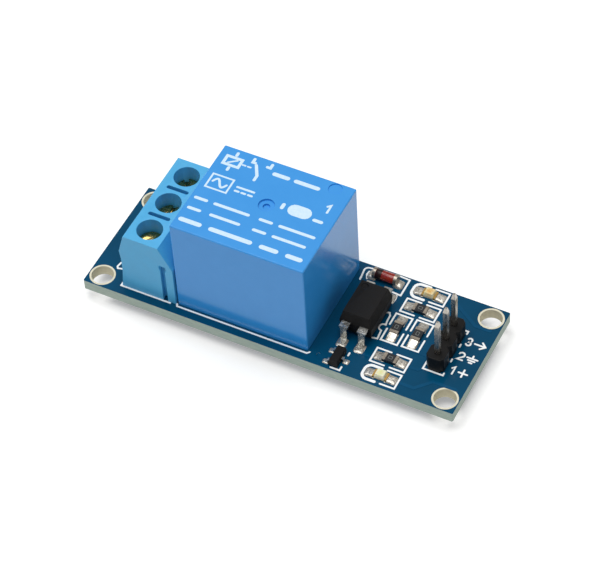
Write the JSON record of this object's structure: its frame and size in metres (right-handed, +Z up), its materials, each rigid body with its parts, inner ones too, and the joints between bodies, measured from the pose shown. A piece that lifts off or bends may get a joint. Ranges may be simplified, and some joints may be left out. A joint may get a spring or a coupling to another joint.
{
  "type": "relay module board",
  "caption": "Circuit board with a sealed relay between a screw terminal block and a pin header; a small signal switches a heavier contact.",
  "frame": {"origin": "under the middle of the board, at the level of the pin tips it stands on", "axes": "+X from the screw terminals to the pin header, +Y to the back edge, +Z up"},
  "size_m": [0.0536, 0.0182, 0.0186],
  "materials": {
    "board_mask": "blue solder mask on glass-epoxy laminate",
    "terminal_polyamide": "moulded",
    "relay_case": "moulded, glossy",
    "relay_base": "moulded",
    "bobbin_plastic": "moulded",
    "copper_wire": "enamelled winding",
    "soft_steel": "zinc plated",
    "spring_bronze": "rolled",
    "contact_silver": "rivet",
    "plated_brass": "nickel and zinc plated",
    "tinned_copper": "tinned",
    "black_epoxy": "moulded, matt",
    "solder": "reflowed",
    "diode_glass": "clear",
    "led_ceramic": "moulded",
    "led_resin_amber": "cast",
    "led_resin_pale": "cast",
    "resistor_glaze": "glazed ceramic",
    "header_nylon": "moulded",
    "header_plate": "plated"
  },
  "bodies": {
    "board": {"pcb": "board_mask", "terminal_housing": "terminal_polyamide", "terminal_pin_1": "tinned_copper", "terminal_pin_2": "tinned_copper", "terminal_pin_3": "tinned_copper", "relay_cover": "relay_case", "relay_base": "relay_base", "coil_bobbin": "bobbin_plastic", "coil_winding": "copper_wire", "coil_core": "soft_steel", "relay_yoke": "soft_steel", "closed_terminal": "tinned_copper", "closed_contact": "contact_silver", "open_terminal": "tinned_copper", "open_contact": "contact_silver", "common_pin": "tinned_copper", "coil_pin_1": "tinned_copper", "coil_pin_2": "tinned_copper", "opto_body": "black_epoxy", "opto_lead_1": "tinned_copper", "opto_lead_2": "tinned_copper", "opto_lead_3": "tinned_copper", "opto_lead_4": "tinned_copper", "transistor_body": "black_epoxy", "transistor_leads": "tinned_copper", "diode_glass": "diode_glass", "diode_cap_1": "tinned_copper", "diode_cap_2": "tinned_copper", "diode_chip": "soft_steel", "led_1_base": "led_ceramic", "led_1_lens": "led_resin_amber", "led_2_base": "led_ceramic", "led_2_lens": "led_resin_pale", "resistor_1": "resistor_glaze", "resistor_2": "resistor_glaze", "resistor_3": "resistor_glaze", "resistor_4": "resistor_glaze", "resistor_ends": "tinned_copper", "header_insulator": "header_nylon", "header_pin_1": "header_plate", "header_pin_2": "header_plate", "header_pin_3": "header_plate", "solder_joints": "solder", "solder_pads": "solder"},
    "screw_1": {"clamp_screw_1": "plated_brass"},
    "clamp_1": {"clamp_cage_1": "plated_brass"},
    "screw_2": {"clamp_screw_2": "plated_brass"},
    "clamp_2": {"clamp_cage_2": "plated_brass"},
    "screw_3": {"clamp_screw_3": "plated_brass"},
    "clamp_3": {"clamp_cage_3": "plated_brass"},
    "armature_group": {"armature": "soft_steel", "contact_spring": "spring_bronze", "spring_rivets": "soft_steel", "moving_contact": "contact_silver"}
  },
  "joints": [
    {"name": "screw_1_turn", "type": "hinge", "parent": "board", "child": "screw_1", "pos_m": [-0.01795, -0.00508, 0.01], "axis": [0, 0, -1], "range_deg": [0, 1361]},
    {"name": "clamp_1_rise", "type": "slide", "parent": "board", "child": "clamp_1", "axis": [0, 0, 1], "range_m": [0, 0.0017]},
    {"name": "screw_2_turn", "type": "hinge", "parent": "board", "child": "screw_2", "pos_m": [-0.01795, 0, 0.01], "axis": [0, 0, -1], "range_deg": [0, 1361]},
    {"name": "clamp_2_rise", "type": "slide", "parent": "board", "child": "clamp_2", "axis": [0, 0, 1], "range_m": [0, 0.0017]},
    {"name": "screw_3_turn", "type": "hinge", "parent": "board", "child": "screw_3", "pos_m": [-0.01795, 0.00508, 0.01], "axis": [0, 0, -1], "range_deg": [0, 1361]},
    {"name": "clamp_3_rise", "type": "slide", "parent": "board", "child": "clamp_3", "axis": [0, 0, 1], "range_m": [0, 0.0017]},
    {"name": "armature_pull", "type": "hinge", "parent": "board", "child": "armature_group", "pos_m": [0.0039, 0.0003, 0.01387], "axis": [0, -1, 0], "range_deg": [0, 2.2], "stiffness_Nm_per_rad": 0.03, "springref_deg": -4.58}
  ],
  "couplings": [
    {"joint": "screw_1_turn", "follows": "clamp_1_rise", "rad_per_m": 13963},
    {"joint": "screw_2_turn", "follows": "clamp_2_rise", "rad_per_m": 13963},
    {"joint": "screw_3_turn", "follows": "clamp_3_rise", "rad_per_m": 13963}
  ]
}
